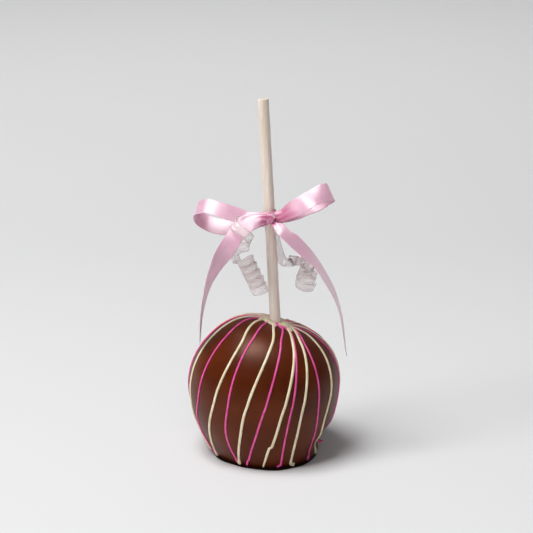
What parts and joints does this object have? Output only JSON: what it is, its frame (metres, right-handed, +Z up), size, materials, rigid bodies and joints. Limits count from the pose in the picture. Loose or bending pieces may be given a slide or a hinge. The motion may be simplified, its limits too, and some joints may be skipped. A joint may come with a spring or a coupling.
{
  "type": "chocolate covered apple",
  "caption": "Whole apple in milk chocolate with poured icing lines, on an upright wooden stick tied with a satin bow and clear curls.",
  "frame": {"origin": "on the flat base of the apple, below the middle of its widest ring, on the surface that it stands on", "axes": "+Z up out of the crown, where the stick stands, -Y towards the front, where the knot of the bow is, and +X to the right as the front is faced"},
  "size_m": [0.0847, 0.0817, 0.1913],
  "materials": {
    "chocolate": "satin",
    "cream_icing": "semi-gloss",
    "pink_icing": "semi-gloss",
    "birch": "plain sanded",
    "satin": "satin weave",
    "clear_film": "glossy translucent"
  },
  "bodies": {
    "root": {"chocolate_apple": "chocolate", "stick": "birch", "pink_line_01": "pink_icing", "cream_line_01": "cream_icing", "pink_line_02": "pink_icing", "cream_line_02": "cream_icing", "pink_line_03": "pink_icing", "cream_line_03": "cream_icing", "pink_line_04": "pink_icing", "cream_line_04": "cream_icing", "pink_line_05": "pink_icing", "cream_line_05": "cream_icing", "pink_line_06": "pink_icing", "cream_line_06": "cream_icing", "pink_line_07": "pink_icing", "cream_line_07": "cream_icing", "pink_line_08": "pink_icing", "cream_line_08": "cream_icing", "pink_line_09": "pink_icing", "cream_line_09": "cream_icing", "pink_line_10": "pink_icing", "cream_line_10": "cream_icing", "pink_line_11": "pink_icing", "cream_line_11": "cream_icing", "pink_line_12": "pink_icing", "cream_line_12": "cream_icing", "pink_line_13": "pink_icing", "cream_line_13": "cream_icing", "cream_pool_right": "cream_icing", "cream_pool_left": "cream_icing", "pink_pool_front": "pink_icing", "pink_pool_back": "pink_icing", "satin_ribbon": "satin", "film_curl_left": "clear_film", "film_curl_right": "clear_film"}
  },
  "joints": []
}
